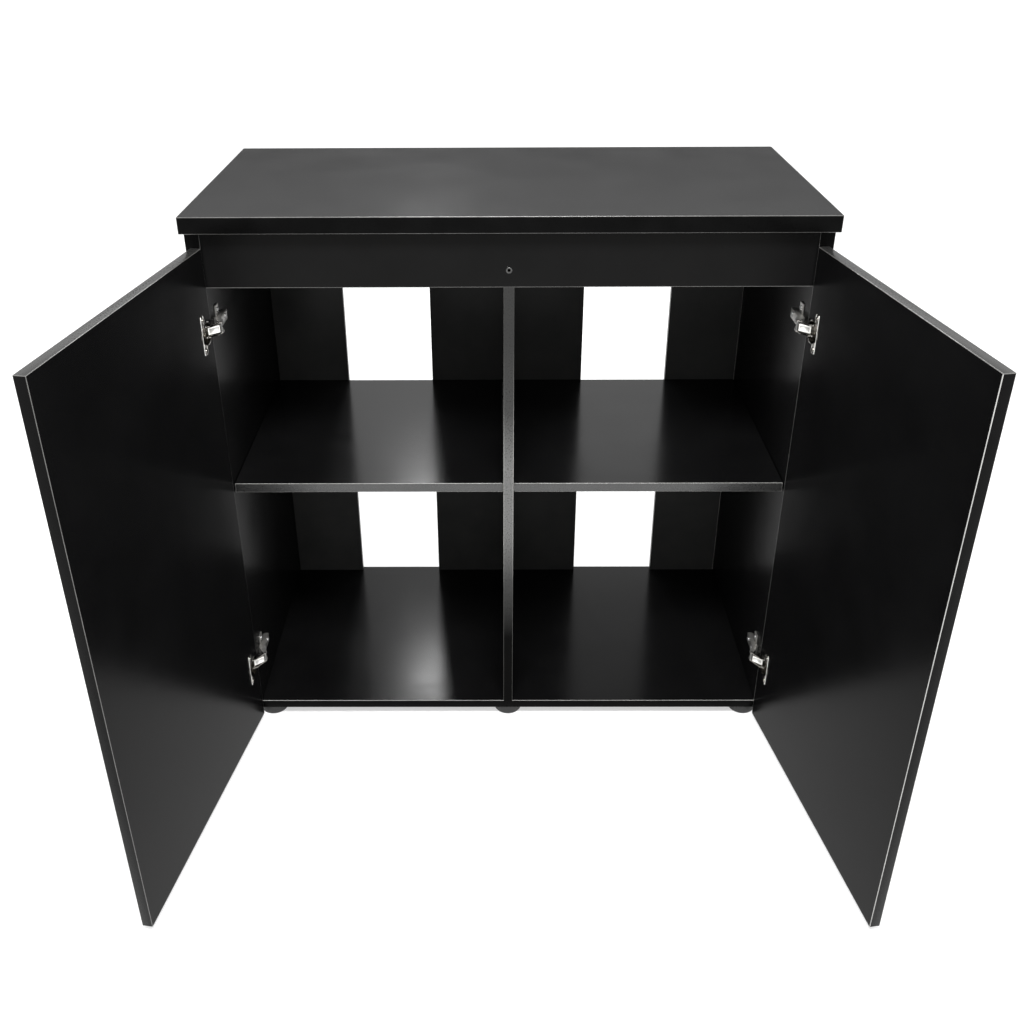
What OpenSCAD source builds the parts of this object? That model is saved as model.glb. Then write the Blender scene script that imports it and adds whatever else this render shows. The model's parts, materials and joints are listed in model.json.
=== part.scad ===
// Aquarium cabinet with two doors standing open, a divider, two shelves and six round feet.
// Millimetres. The origin is the centre of the top panel's upper face, +Z up, the front towards -Y.

/* [Top panel] */
// Width over the end bands
top_w = 954; // [820:1:1200]
// Depth over the front band
top_d = 465; // [400:1:600]
// Thickness
top_t = 25; // [18:0.5:40]
// Thickness of the band glued round the front and the ends
top_band_t = 2; // [0.8:0.1:3]
// How far it stands out in front of the body
top_front_out = 20; // [19:0.5:40]
// How far it stands out beyond each side panel
top_end_out = 2; // [0:0.5:20]

/* [Body] */
// Height from the floor to the top panel's upper face
total_h = 938; // [760:1:1200]
// Thickness of a side panel
side_t = 22; // [18:0.5:24]
// Thickness of the bottom panel
bottom_t = 16; // [15:0.5:22]
// Thickness of the centre divider
divider_t = 16; // [15:0.5:22]
// Thickness of the front rail
rail_t = 16; // [15:0.5:22]
// Height of the front rail
rail_h = 87; // [60:1:130]
// Thickness of a back board
back_t = 12; // [8:0.5:16]
// Width of the back board behind the divider
centre_back_w = 296; // [160:1:340]
// Width of the back board beside each side panel
side_back_w = 138; // [80:1:180]
// Thickness of the bands on the other boards' edges
band_t = 1; // [0.4:0.1:1.5]

/* [Feet] */
// Height of a foot
foot_h = 17; // [12:0.5:40]
// Diameter of a foot
foot_d = 50; // [40:1:60]
// Rounding of a foot's lower edge
foot_round = 4; // [1:0.5:6]
// From the body's front or rear to a foot's centre
foot_in = 25; // [25:0.5:60]
// From the body's outer side to an outer foot's centre
foot_side_in = 38; // [32:0.5:80]
// Length of a foot's screw
foot_screw_len = 24; // [16:0.5:26]

/* [Shelves] */
// Thickness of a shelf
shelf_t = 16; // [15:0.5:22]
// Height of a shelf's upper face over the floor
shelf_z = 487.5; // [300:0.5:640]
// How far a shelf's front edge stays behind the body's front
shelf_setback = 7; // [2:0.5:60]
// Gap between a shelf's end and the panel beside it
shelf_end_gap = 1.5; // [0.5:0.1:3]
// Gap between a shelf and the back boards
shelf_back_gap = 1; // [0.5:0.1:10]
// Diameter of a shelf support's pin
shelf_pin_d = 5; // [4:0.5:6]
// How deep a shelf support's pin goes into its panel
shelf_pin_deep = 7; // [5:0.1:7.2]
// From a shelf's front or rear edge to its supports
shelf_pin_in = 45; // [30:1:90]
// Length of the support's plate under the shelf
shelf_plate_len = 9; // [6:0.5:14]
// Width of the support's plate
shelf_plate_w = 8; // [6:0.5:12]
// Thickness of the support's plate
shelf_plate_t = 3.5; // [2:0.5:5]

/* [Doors] */
// Thickness of a door
door_t = 16; // [15:0.5:22]
// Finger gap between a closed door and the top panel
finger_gap = 24.5; // [12:0.5:40]
// How far a door reaches below the bottom panel
door_drop = 8.5; // [0:0.5:9]
// Gap between the two closed doors
door_split = 3; // [2:0.5:6]
// From a closed door's outer edge to the body's outer side
door_side_gap = 0.5; // [0:0.5:4]
// Gap between a closed door and the body
door_gap = 2; // [1.6:0.1:2.5]
// Angle at which the doors stand open
door_open = 99.2; // [60:0.1:104]

/* [Hinge cups] */
// From a door's upper or lower end to a hinge's centre
hinge_in = 125; // [80:1:200]
// Diameter of a hinge cup
cup_d = 35; // [34.5:0.1:36]
// Depth of a hinge cup in the door
cup_deep = 11.5; // [11:0.1:13]
// Thickness of the cup's wall and floor
cup_wall = 0.7; // [0.5:0.1:1]
// From the door's hinge edge to the cup
cup_edge = 3; // [2.8:0.1:3.5]
// Thickness of the cup's flange on the door
flange_t = 0.8; // [0.5:0.1:1]
// Length of the flange along the door's edge
flange_len = 64.5; // [58:0.5:70]
// Width of the flange's wings
flange_w = 12; // [10:0.5:16]
// From the cup's centre to the middle of the flange's wings
flange_out = 9.5; // [8:0.5:11]
// Distance between a cup's two screws
cup_screw_apart = 48; // [45:0.5:52]
// Thickness of the lugs that hold the pins in a cup
lug_t = 1.2; // [1:0.1:1.4]

/* [Hinge links] */
// Half the width of the wide link
wide_half = 6.25; // [5:0.05:6.3]
// Thickness of the wide link
wide_t = 1.6; // [1.2:0.1:2]
// Thickness of a side link
side_link_t = 1.2; // [0.8:0.1:1.4]
// Width of a side link
side_link_w = 2.8; // [2:0.1:3.2]
// Gap between plates that pass each other
plate_gap = 0.25; // [0.2:0.05:0.4]
// Diameter of the hinge pins
pin_d = 2; // [1.6:0.1:2.2]
// Radial clearance of a hinge pin
pin_fit = 0.05; // [0.02:0.01:0.09]
// Radial clearance of the side link's slack eye round its cup pin
slack_fit = 2; // [1.9:0.05:2.2]
// Metal round a pin in an eye
eye_wall = 0.85; // [0.7:0.05:0.95]
// From the cup's rim to the wide link's cup pin
wide_pin_in = 4.3; // [4.2:0.05:4.6]
// From the door's inner face to the wide link's cup pin
wide_pin_deep = 2; // [2:0.05:2.3]
// From the cup's rim to the side links' cup pins
side_pin_in = 8.9; // [8.6:0.1:9.2]
// From the door's inner face to the side links' cup pins
side_pin_deep = 4; // [3.8:0.1:4.2]

/* [Hinge arms] */
// From the hinge datum to the side links' arm pin, towards the cabinet's middle
arm_pin_x = 15.5; // [15:0.1:17]
// From the body's front to the side links' arm pin
arm_pin_y = 2.2; // [1.9:0.1:3]
// Rear end of an arm behind the body's front
arm_end_y = 62; // [56:0.5:80]
// Height of an arm's back over the hinge datum
arm_x = 10.2; // [9:0.1:12]
// Thickness of an arm's sheet
arm_t = 1.2; // [1:0.1:1.4]
// Thickness of a mounting plate's wings over the hinge datum
wing_t = 2.5; // [2:0.1:3]
// Distance of a mounting plate's screws behind the body's front
plate_screw_y = 37; // [35:0.5:40]
// Distance between a mounting plate's two screws
plate_screw_apart = 32; // [30:0.5:40]
// Length of a mounting plate's wings
wing_len = 48; // [46:0.5:60]
// Width of a mounting plate's wings
wing_w = 16; // [12:0.5:20]

/* [Fasteners] */
// Diameter of the small screws
screw_d = 4; // [3:0.1:4.5]
// Diameter of the small screws' heads
screw_head_d = 7.4; // [6:0.1:8]
// Height of the small screws' heads
screw_head_h = 1.8; // [1.2:0.1:2.4]
// Depth of a small screw in a board
screw_deep = 12; // [8:0.5:14]
// Diameter of the joining screws
joiner_d = 6; // [5:0.1:7]
// Diameter of the joining screws' heads
joiner_head_d = 10; // [9:0.1:12]
// Height of the joining screws' heads
joiner_head_h = 3; // [2:0.1:4]
// Length of a joining screw
joiner_len = 60; // [45:1:70]
// Width across the corners of a hexagon socket
socket_d = 4.6; // [3.5:0.1:5]
// Diameter of the dowels
dowel_d = 8; // [5:0.5:8]
// Length of a dowel
dowel_len = 30; // [20:1:30]
// Diameter of the dowels in the back boards
thin_dowel_d = 5; // [4:0.5:6]
// Radial clearance of a peg or screw in its hole
peg_fit = 0.05; // [0.02:0.01:0.1]
// Height of the rail's front screw over the rail's lower edge
rail_screw_up = 26; // [15:1:40]

/* [Hidden] */

// Colours
board_black = [0.07, 0.07, 0.075];
band_black = [0.1, 0.1, 0.105];
nickel = [0.72, 0.72, 0.7];
zinc = [0.62, 0.63, 0.64];
plastic_black = [0.05, 0.05, 0.05];
beech = [0.8, 0.66, 0.46];

// Body levels, from the floor, and body widths
body_w = top_w - 2 * top_end_out;
body_d = top_d - top_front_out;
body_top = total_h - top_t;
half_w = body_w / 2;
half_in = half_w - side_t;
floor_z = foot_h + bottom_t;
rail_z = body_top - rail_h;
back_y = body_d - back_t;
centre_x = divider_t / 2;

// Shelves between the divider and a side panel
shelf_y0 = shelf_setback;
shelf_y1 = back_y - shelf_back_gap;
shelf_x0 = centre_x + shelf_end_gap;
shelf_x1 = half_in - shelf_end_gap;
shelf_under = shelf_z - shelf_t;
support_y = [shelf_y0 + shelf_pin_in, shelf_y1 - shelf_pin_in];

// Doors as they are when closed
door_z0 = foot_h - door_drop;
door_z1 = body_top - finger_gap;
door_x0 = -half_w + door_side_gap;
door_x1 = -door_split / 2;
hinge_z = [door_z0 + hinge_in, door_z1 - hinge_in];

// Fasteners' places
fit = peg_fit;
hole_extra = 0.3;
joiner_y = [body_d * 0.12, body_d * 0.5, body_d * 0.88];
side_joiner_z = foot_h + bottom_t / 2;
divider_joiner_y = [body_d * 0.2, body_d * 0.7];
dowel_y = [body_d * 0.15, body_d * 0.5, body_d * 0.85];
rail_dowel_z = [rail_z + rail_h * 0.2, rail_z + rail_h * 0.8];
top_dowel_deep = top_t * 0.5;
rail_dowel_deep = side_t * 0.5;
back_dowel_y = back_y + back_t / 2;
back_dowel_deep = bottom_t * 0.5;
back_dowel_len = 2 * back_dowel_deep;
side_back_x = half_in - side_back_w / 2;
back_dowel_x = [
    -side_back_x - side_back_w / 4, -side_back_x + side_back_w / 4,
    -centre_back_w / 3, centre_back_w / 3,
    side_back_x - side_back_w / 4, side_back_x + side_back_w / 4
];
foot_x = [-half_w + foot_side_in, 0, half_w - foot_side_in];
foot_y = [foot_in, body_d - foot_in];
foot_seat_z = 5;
rail_screw_z = rail_z + rail_screw_up;
cut = 1;

// Hinge geometry, seen from above. x runs from the hinge datum towards the cabinet's middle and
// y runs from the body's front to the rear. It is drawn for the left door, closed.
overlay = 21.5;
datum_x = -half_w + door_side_gap + overlay;
plate_reach = datum_x + half_in;
edge_closed = [-overlay, -door_gap];
edge_open = [2.2, -6.4];
set_angle = 99.2;
link_ratio = -0.335;
pin_r = pin_d / 2;
eye_r = pin_r + eye_wall;
cup_r = cup_d / 2;
cup_in_r = cup_r - cup_wall;
cup_x = -overlay + cup_edge + cup_r;
cup_floor_y = -door_gap - cup_deep + cup_wall;
lug_z = wide_half + plate_gap;
side_link_z = lug_z + lug_t + plate_gap + 0.05;
pin_half = side_link_z + side_link_t;

// A pair [x, y] is turned clockwise by an angle, or multiplied or divided like a complex number
function turned(p, a) = [p.x * cos(a) + p.y * sin(a), p.y * cos(a) - p.x * sin(a)];
function product(a, b) = [a.x * b.x - a.y * b.y, a.x * b.y + a.y * b.x];
function ratio(a, b) = product(a, [b.x, -b.y]) / (b.x * b.x + b.y * b.y);

// Wide link: its cup pin when closed, its arm pin, and its cup pin at the doors' rest
wide_cup = edge_closed + [cup_edge + wide_pin_in, -wide_pin_deep];
wide_shift = edge_open - wide_cup - turned(edge_closed - wide_cup, set_angle);
wide_arm = wide_cup - ratio(wide_shift, turned([1, 0], link_ratio * set_angle) - [1, 0]);
wide_turn = link_ratio * door_open;
wide_cup_rest = wide_arm + turned(wide_cup - wide_arm, wide_turn);
wide_path = [wide_cup, wide_cup + [3, -2.3], [3.4, -3], wide_arm];

// Side links: their cup pins when closed and at rest, and their arm pin
side_cup = edge_closed + [cup_edge + side_pin_in, -side_pin_deep];
side_cup_rest = wide_cup_rest + turned(side_cup - wide_cup, door_open);
side_arm = [arm_pin_x, arm_pin_y];
side_path = [side_arm, side_cup_rest + [5.6, 0], side_cup_rest];

// Arm and mounting plate
arm_body_y = 20;
arm_low_x = 3.2;
plate_body_half = lug_z - plate_gap;
arm_screw_y = [27, arm_end_y - 10];
arm_screw_hole = screw_d / 2 + fit;

// The cabinet's own measures start at its front, on the floor, in the middle
module in_frame() {
    translate([0, top_front_out - top_d / 2, -total_h]) children();
}

module block(x0, x1, y0, y1, z0, z1) {
    translate([x0, y0, z0]) cube([x1 - x0, y1 - y0, z1 - z0]);
}

module rod_x(x0, x1, y, z, r) {
    translate([x0, y, z]) rotate([0, 90, 0]) cylinder(h = x1 - x0, r = r, $fn = 48);
}

module rod_y(y0, y1, x, z, r) {
    translate([x, y0, z]) rotate([-90, 0, 0]) cylinder(h = y1 - y0, r = r, $fn = 48);
}

module rod_z(z0, z1, x, y, r) {
    translate([x, y, z0]) cylinder(h = z1 - z0, r = r, $fn = 48);
}

module mirrored(side) {
    if (side == "left") {
        children();
    } else {
        mirror([1, 0, 0]) children();
    }
}

// Moves what is drawn round the hinge datum to each hinge of the left side
module at_hinges() {
    for (z = hinge_z) translate([datum_x, 0, z]) children();
}

// Swings what is drawn closed, in the cabinet's measures, to the doors' rest
module swung() {
    translate([datum_x + wide_cup_rest.x, wide_cup_rest.y, 0])
        rotate([0, 0, -door_open])
            translate([-datum_x - wide_cup.x, -wide_cup.y, 0])
                children();
}

// Flat strip from a to b with square ends
module strip(a, b, w) {
    along = b - a;
    translate(a) rotate([0, 0, atan2(along.y, along.x)]) translate([0, -w / 2])
        square([norm(along), w]);
}

// Bent strip along a path with round bends
module bent_strip(path, w) {
    for (i = [0:len(path) - 2]) strip(path[i], path[i + 1], w);
    for (p = path) translate(p) circle(d = w, $fn = 48);
}

// Joining screw along +Y from its head's outer face at the origin
module joining_screw() {
    difference() {
        union() {
            rod_y(0, joiner_head_h, 0, 0, joiner_head_d / 2);
            rod_y(joiner_head_h, joiner_len, 0, 0, joiner_d / 2);
        }
        rotate([-90, 0, 0]) translate([0, 0, -cut])
            cylinder(h = cut + joiner_head_h * 0.8, d = socket_d, $fn = 6);
    }
}

module joining_hole() {
    rod_y(-cut, joiner_head_h, 0, 0, joiner_head_d / 2 + fit);
    rod_y(0, joiner_len + hole_extra, 0, 0, joiner_d / 2 + fit);
}

// Each of these puts a joining screw or its hole at every place of its kind
module at_side_joiners() {
    for (y = joiner_y, turn = [0, 1]) mirror([turn, 0, 0])
        translate([-half_w, y, side_joiner_z]) rotate([0, 0, -90]) children();
}

module at_divider_joiners() {
    for (y = divider_joiner_y) translate([0, y, foot_h]) rotate([90, 0, 0]) children();
}

module at_rail_joiner() {
    translate([0, 0, rail_screw_z]) children();
}

// Small screw along -X from its head's seat at the origin
module small_screw(deep) {
    rod_x(-deep, 0, 0, 0, screw_d / 2);
    difference() {
        rod_x(0, screw_head_h, 0, 0, screw_head_d / 2);
        for (turn = [0, 90]) translate([screw_head_h, 0, 0]) rotate([turn, 0, 0])
            cube([screw_head_h, screw_head_d * 0.6, screw_head_d * 0.12], center = true);
    }
}

module small_hole(deep) {
    rod_x(-deep - hole_extra, cut, 0, 0, screw_d / 2 + fit);
}

module top_dowel_places(extra) {
    for (x = [-half_w + side_t / 2, half_w - side_t / 2], y = dowel_y)
        rod_z(body_top + top_dowel_deep - dowel_len - extra, body_top + top_dowel_deep + extra,
            x, y, dowel_d / 2 + (extra > 0 ? fit : 0));
    for (y = [dowel_y[1], dowel_y[2]])
        rod_z(body_top + top_dowel_deep - dowel_len - extra, body_top + top_dowel_deep + extra,
            0, y, dowel_d / 2 + (extra > 0 ? fit : 0));
}

module rail_dowel_places(extra) {
    for (turn = [0, 1], z = rail_dowel_z) mirror([turn, 0, 0])
        rod_x(half_in + rail_dowel_deep - dowel_len - extra, half_in + rail_dowel_deep + extra,
            rail_t / 2, z, dowel_d / 2 + (extra > 0 ? fit : 0));
}

module back_dowel_places(extra) {
    for (x = back_dowel_x, z = [floor_z, body_top])
        rod_z(z - back_dowel_len / 2 - extra, z + back_dowel_len / 2 + extra,
            x, back_dowel_y, thin_dowel_d / 2 + (extra > 0 ? fit : 0));
}

// Supports at the four corners of a shelf on the cabinet's right, and their pin holes
module shelf_support(x, way) {
    plate_x = x + way * shelf_plate_len;
    pin_z = shelf_under - shelf_plate_t / 2;
    for (y = support_y) {
        rod_x(min(x, x - way * shelf_pin_deep), max(x, x - way * shelf_pin_deep), y, pin_z,
            min(shelf_pin_d, shelf_plate_t) / 2);
        block(min(x, plate_x), max(x, plate_x), y - shelf_plate_w / 2, y + shelf_plate_w / 2,
            shelf_under - shelf_plate_t, shelf_under);
    }
}

module support_holes() {
    pin_z = shelf_under - shelf_plate_t / 2;
    r = min(shelf_pin_d, shelf_plate_t) / 2 + fit;
    for (y = support_y, turn = [0, 1]) mirror([turn, 0, 0]) {
        rod_x(half_in - cut, half_in + shelf_pin_deep + hole_extra, y, pin_z, r);
        rod_x(centre_x - shelf_pin_deep - hole_extra, centre_x + cut, y, pin_z, r);
    }
}

module top_panel() {
    in_frame() color(board_black) difference() {
        block(-top_w / 2 + top_band_t, top_w / 2 - top_band_t,
            top_band_t - top_front_out, body_d, body_top, total_h);
        top_dowel_places(hole_extra);
        back_dowel_places(hole_extra);
    }
}

module top_edge_band() {
    in_frame() color(band_black) difference() {
        block(-top_w / 2, top_w / 2, -top_front_out, body_d, body_top, total_h);
        block(-top_w / 2 + top_band_t, top_w / 2 - top_band_t,
            top_band_t - top_front_out, body_d + cut, body_top - cut, total_h + cut);
    }
}

module side_panel(side) {
    in_frame() color(board_black) mirrored(side) difference() {
        block(-half_w, -half_in, band_t, body_d, foot_h, body_top);
        top_dowel_places(hole_extra);
        rail_dowel_places(hole_extra);
        support_holes();
        at_side_joiners() joining_hole();
        at_hinges() plate_screw_places() small_hole(screw_deep + wing_t + plate_reach);
    }
}

module bottom_panel() {
    in_frame() color(board_black) difference() {
        block(-half_in, half_in, band_t, body_d, foot_h, floor_z);
        at_side_joiners() joining_hole();
        at_divider_joiners() joining_hole();
        back_dowel_places(hole_extra);
        foot_screw_places(hole_extra, fit);
    }
}

module centre_divider() {
    in_frame() color(board_black) difference() {
        block(-centre_x, centre_x, band_t, back_y, floor_z, body_top);
        block(-centre_x - cut, centre_x + cut, -cut, rail_t, rail_z, body_top + cut);
        top_dowel_places(hole_extra);
        support_holes();
        at_divider_joiners() joining_hole();
        at_rail_joiner() joining_hole();
    }
}

module front_rail() {
    in_frame() color(board_black) difference() {
        block(-half_in, half_in, 0, rail_t, rail_z + band_t, body_top);
        rail_dowel_places(hole_extra);
        at_rail_joiner() joining_hole();
    }
}

module side_back_board(side) {
    in_frame() color(board_black) mirrored(side) difference() {
        block(-half_in, side_back_w - half_in, back_y, body_d, floor_z, body_top);
        back_dowel_places(hole_extra);
    }
}

module centre_back_board() {
    in_frame() color(board_black) difference() {
        block(-centre_back_w / 2, centre_back_w / 2, back_y, body_d, floor_z, body_top);
        back_dowel_places(hole_extra);
    }
}

module body_edge_bands() {
    in_frame() color(band_black) {
        block(-half_w, -half_in, 0, band_t, foot_h, body_top);
        block(half_in, half_w, 0, band_t, foot_h, body_top);
        block(-half_in, half_in, 0, band_t, foot_h, floor_z);
        block(-centre_x, centre_x, 0, band_t, floor_z, rail_z);
        block(-half_in, half_in, 0, rail_t, rail_z, rail_z + band_t);
    }
}

module shelf(side) {
    in_frame() color(board_black) mirrored(side)
        block(-shelf_x1, -shelf_x0, shelf_y0 + band_t, shelf_y1, shelf_under, shelf_z);
}

module shelf_edge_bands() {
    in_frame() color(band_black) for (turn = [0, 1]) mirror([turn, 0, 0])
        block(shelf_x0, shelf_x1, shelf_y0, shelf_y0 + band_t, shelf_under, shelf_z);
}

module shelf_supports(side) {
    in_frame() color(plastic_black) mirrored(side) {
        mirror([1, 0, 0]) shelf_support(centre_x, 1);
        mirror([1, 0, 0]) shelf_support(half_in, -1);
    }
}

// Foot with a rounded lower edge and a counterbore for its screw
module foot(x, y) {
    in_frame() color(plastic_black) translate([foot_x[x], foot_y[y], 0]) difference() {
        rotate_extrude($fn = 96) {
            square([foot_d / 2 - foot_round, foot_h]);
            translate([0, foot_round]) square([foot_d / 2, foot_h - foot_round]);
            translate([foot_d / 2 - foot_round, foot_round]) circle(r = foot_round, $fn = 48);
        }
        rod_z(-cut, foot_seat_z, 0, 0, screw_head_d / 2 + hole_extra);
        rod_z(0, foot_h + cut, 0, 0, screw_d / 2 + fit);
    }
}

module foot_screw_places(extra, wider) {
    for (x = foot_x, y = foot_y) {
        rod_z(foot_seat_z - extra, foot_seat_z + foot_screw_len + extra, x, y, screw_d / 2 + wider);
    }
}

module foot_screws() {
    in_frame() color(zinc) difference() {
        union() {
            foot_screw_places(0, 0);
            for (x = foot_x, y = foot_y)
                rod_z(foot_seat_z - screw_head_h, foot_seat_z, x, y, screw_head_d / 2);
        }
        for (x = foot_x, y = foot_y, turn = [0, 90])
            translate([x, y, foot_seat_z - screw_head_h]) rotate([0, 0, turn])
                cube([screw_head_d * 0.6, screw_head_d * 0.12, screw_head_h], center = true);
    }
}

module side_joining_screws() {
    in_frame() color(zinc) at_side_joiners() joining_screw();
}

module divider_joining_screws() {
    in_frame() color(zinc) at_divider_joiners() joining_screw();
}

module rail_screw() {
    in_frame() color(zinc) at_rail_joiner() joining_screw();
}

module top_dowels() {
    in_frame() color(beech) top_dowel_places(0);
}

module rail_dowels() {
    in_frame() color(beech) rail_dowel_places(0);
}

module back_dowels() {
    in_frame() color(beech) back_dowel_places(0);
}

module door(side) {
    in_frame() color(board_black) mirrored(side) swung() difference() {
        block(door_x0 + band_t, door_x1 - band_t, -door_gap - door_t, -door_gap,
            door_z0 + band_t, door_z1 - band_t);
        at_hinges() {
            rod_y(-door_gap - cup_deep, cut, cup_x, 0, cup_r + fit);
            cup_screw_places() rotate([0, 0, 90]) small_hole(screw_deep);
        }
    }
}

module door_edge_band(side) {
    in_frame() color(band_black) mirrored(side) swung() difference() {
        block(door_x0, door_x1, -door_gap - door_t, -door_gap, door_z0, door_z1);
        block(door_x0 + band_t, door_x1 - band_t, -door_gap - door_t - cut, cut - door_gap,
            door_z0 + band_t, door_z1 - band_t);
    }
}

module cup_screw_places() {
    for (way = [-1, 1])
        translate([cup_x + flange_out, flange_t - door_gap, way * cup_screw_apart / 2]) children();
}

// Cup with its winged flange and the two lugs that hold its pins
module hinge_cup() {
    wing_half = flange_len / 2 - flange_w / 2;
    difference() {
        union() {
            rod_y(-door_gap - cup_deep, -door_gap + flange_t, cup_x, 0, cup_r);
            rod_y(-door_gap, -door_gap + flange_t, cup_x, 0, cup_r + cup_edge / 2);
            block(cup_x + flange_out - flange_w / 2, cup_x + flange_out + flange_w / 2,
                -door_gap, -door_gap + flange_t, -wing_half, wing_half);
            for (z = [-wing_half, wing_half])
                rod_y(-door_gap, -door_gap + flange_t, cup_x + flange_out, z, flange_w / 2);
        }
        rod_y(cup_floor_y, cut, cup_x, 0, cup_in_r);
        cup_screw_places() rotate([0, 0, 90]) small_hole(screw_deep);
    }
    difference() {
        intersection() {
            rod_y(cup_floor_y - cup_wall / 2, -door_gap - wide_pin_deep + eye_r, cup_x, 0,
                cup_r - cup_wall / 2);
            union() for (z = [-lug_z - lug_t, lug_z])
                block(cup_x - cup_r, side_cup.x + eye_r, cup_floor_y - cut, cut, z, z + lug_t);
        }
        rod_z(-lug_z - lug_t - cut, lug_z + lug_t + cut, wide_cup.x, wide_cup.y, pin_r + fit);
        rod_z(-lug_z - lug_t - cut, lug_z + lug_t + cut, side_cup.x, side_cup.y, pin_r + fit);
    }
}

module hinge_cups(side) {
    in_frame() color(nickel) mirrored(side) swung() at_hinges() hinge_cup();
}

module cup_screws(side) {
    in_frame() color(nickel) mirrored(side) swung() at_hinges()
        cup_screw_places() rotate([0, 0, 90]) small_screw(screw_deep);
}

module cup_pins(side) {
    in_frame() color(zinc) mirrored(side) swung() at_hinges() {
        rod_z(-lug_z - lug_t, lug_z + lug_t, wide_cup.x, wide_cup.y, pin_r);
        for (way = [0, 1]) mirror([0, 0, way]) rod_z(lug_z, pin_half, side_cup.x, side_cup.y, pin_r);
    }
}

module wide_links(side) {
    in_frame() color(nickel) mirrored(side) at_hinges()
        translate(wide_arm) rotate([0, 0, -wide_turn]) translate(-wide_arm)
            translate([0, 0, -wide_half]) linear_extrude(2 * wide_half) difference() {
                union() {
                    bent_strip(wide_path, wide_t);
                    translate(wide_cup) circle(r = eye_r, $fn = 48);
                    translate(wide_arm) circle(r = eye_r, $fn = 48);
                }
                translate(wide_cup) circle(r = pin_r + pin_fit, $fn = 48);
                translate(wide_arm) circle(r = pin_r + pin_fit, $fn = 48);
            }
}

module side_links(side) {
    slack_r = pin_r + slack_fit;
    in_frame() color(nickel) mirrored(side) at_hinges() for (way = [0, 1]) mirror([0, 0, way])
        translate([0, 0, side_link_z]) linear_extrude(side_link_t) difference() {
            union() {
                bent_strip(side_path, side_link_w);
                translate(side_arm) circle(r = eye_r, $fn = 48);
                translate(side_cup_rest) circle(r = slack_r + eye_wall, $fn = 48);
            }
            translate(side_arm) circle(r = pin_r + pin_fit, $fn = 48);
            translate(side_cup_rest) circle(r = slack_r, $fn = 48);
        }
}

// Side of an arm, seen from above
module arm_outline() {
    nose_r = pin_r + 1.4;
    elbow_r = pin_r + 2;
    front = side_arm + [nose_r, 0];
    polygon([
        front, front + [0, 4], [arm_x, arm_body_y + 4], [arm_x, arm_end_y],
        [arm_low_x, arm_end_y], [arm_low_x, wide_arm.y + elbow_r], wide_arm + [-elbow_r, 0],
        wide_arm + [-elbow_r, -elbow_r] * 0.7, side_arm + [-nose_r, -nose_r] * 0.7
    ]);
    translate(side_arm) circle(r = nose_r, $fn = 48);
    translate(wide_arm) circle(r = elbow_r, $fn = 48);
}

module hinge_arm() {
    difference() {
        union() {
            for (z = [-lug_z - lug_t, lug_z]) translate([0, 0, z]) linear_extrude(lug_t) arm_outline();
            block(arm_x - arm_t, arm_x, arm_body_y + 4, arm_end_y, -lug_z, lug_z);
        }
        rod_z(-lug_z - lug_t - cut, lug_z + lug_t + cut, wide_arm.x, wide_arm.y, pin_r + fit);
        rod_z(-lug_z - lug_t - cut, lug_z + lug_t + cut, side_arm.x, side_arm.y, pin_r + fit);
        for (y = arm_screw_y) rod_x(arm_x - arm_t - cut, arm_x + cut, y, 0, arm_screw_hole);
    }
}

module hinge_arms(side) {
    in_frame() color(nickel) mirrored(side) at_hinges() hinge_arm();
}

module arm_pins(side) {
    in_frame() color(zinc) mirrored(side) at_hinges() {
        rod_z(-lug_z - lug_t, lug_z + lug_t, wide_arm.x, wide_arm.y, pin_r);
        rod_z(-pin_half, pin_half, side_arm.x, side_arm.y, pin_r);
    }
}

module arm_screws(side) {
    in_frame() color(zinc) mirrored(side) at_hinges() for (y = arm_screw_y)
        translate([arm_x, y, 0]) small_screw(arm_x - wing_t);
}

module plate_screw_places() {
    for (way = [-1, 1])
        translate([wing_t, plate_screw_y, way * plate_screw_apart / 2]) children();
}

module mounting_plate() {
    difference() {
        union() {
            block(-plate_reach, wing_t, plate_screw_y - wing_w / 2, plate_screw_y + wing_w / 2,
                -wing_len / 2, wing_len / 2);
            block(-plate_reach, wing_t, arm_body_y, arm_end_y, -plate_body_half, plate_body_half);
            block(0, arm_x - arm_t, arm_body_y, arm_end_y, -plate_body_half, plate_body_half);
        }
        plate_screw_places() small_hole(screw_deep + wing_t + plate_reach);
        for (y = arm_screw_y) rod_x(wing_t - hole_extra, arm_x, y, 0, arm_screw_hole);
    }
}

module mounting_plates(side) {
    in_frame() color(nickel) mirrored(side) at_hinges() mounting_plate();
}

module plate_screws(side) {
    in_frame() color(zinc) mirrored(side) at_hinges() plate_screw_places()
        small_screw(screw_deep + wing_t + plate_reach);
}

top_panel();
top_edge_band();
side_panel("left");  // left_side_panel
side_panel("right");  // right_side_panel
bottom_panel();
centre_divider();
front_rail();
side_back_board("left");  // left_back_board
centre_back_board();
side_back_board("right");  // right_back_board
body_edge_bands();
shelf("left");  // left_shelf
shelf("right");  // right_shelf
shelf_edge_bands();
shelf_supports("left");  // left_shelf_supports
shelf_supports("right");  // right_shelf_supports
foot(0, 0);  // front_left_foot
foot(1, 0);  // front_centre_foot
foot(2, 0);  // front_right_foot
foot(0, 1);  // rear_left_foot
foot(1, 1);  // rear_centre_foot
foot(2, 1);  // rear_right_foot
foot_screws();
side_joining_screws();
divider_joining_screws();
rail_screw();
top_dowels();
rail_dowels();
back_dowels();
door("left");  // left_door
door_edge_band("left");  // left_door_edge_band
hinge_cups("left");  // left_hinge_cups
cup_screws("left");  // left_cup_screws
cup_pins("left");  // left_cup_pins
wide_links("left");  // left_wide_links
side_links("left");  // left_side_links
hinge_arms("left");  // left_hinge_arms
arm_pins("left");  // left_arm_pins
arm_screws("left");  // left_arm_screws
mounting_plates("left");  // left_mounting_plates
plate_screws("left");  // left_plate_screws
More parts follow.
